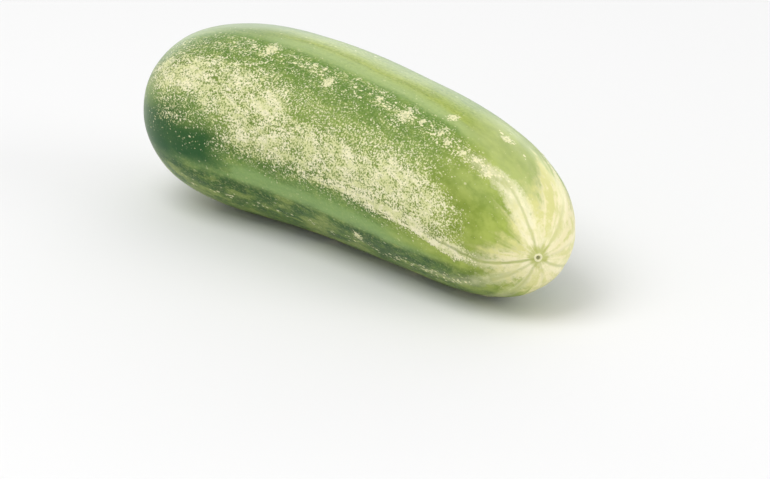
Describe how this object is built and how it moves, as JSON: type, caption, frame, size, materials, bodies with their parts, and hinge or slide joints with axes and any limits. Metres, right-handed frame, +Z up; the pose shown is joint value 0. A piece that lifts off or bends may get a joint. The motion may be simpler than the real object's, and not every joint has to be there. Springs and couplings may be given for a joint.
{
  "type": "cucumber",
  "caption": "Short, thick, slightly curved cucumber lying on its side, rounded at both ends, with a stem scar and a blossom scar.",
  "frame": {"origin": "on the surface the fruit rests on, below the middle of its bounding box", "axes": "+X along the fruit from the stem end to the blossom end, +Z up from the resting surface; both ends bend towards -Y"},
  "size_m": [0.164, 0.0614, 0.0556],
  "materials": {
    "skin": "smooth waxy green skin, mottled from deep green to yellow-green, with fine pale stipples, pale at the blossom end"
  },
  "bodies": {
    "root": {"cucumber": "skin"}
  },
  "joints": []
}
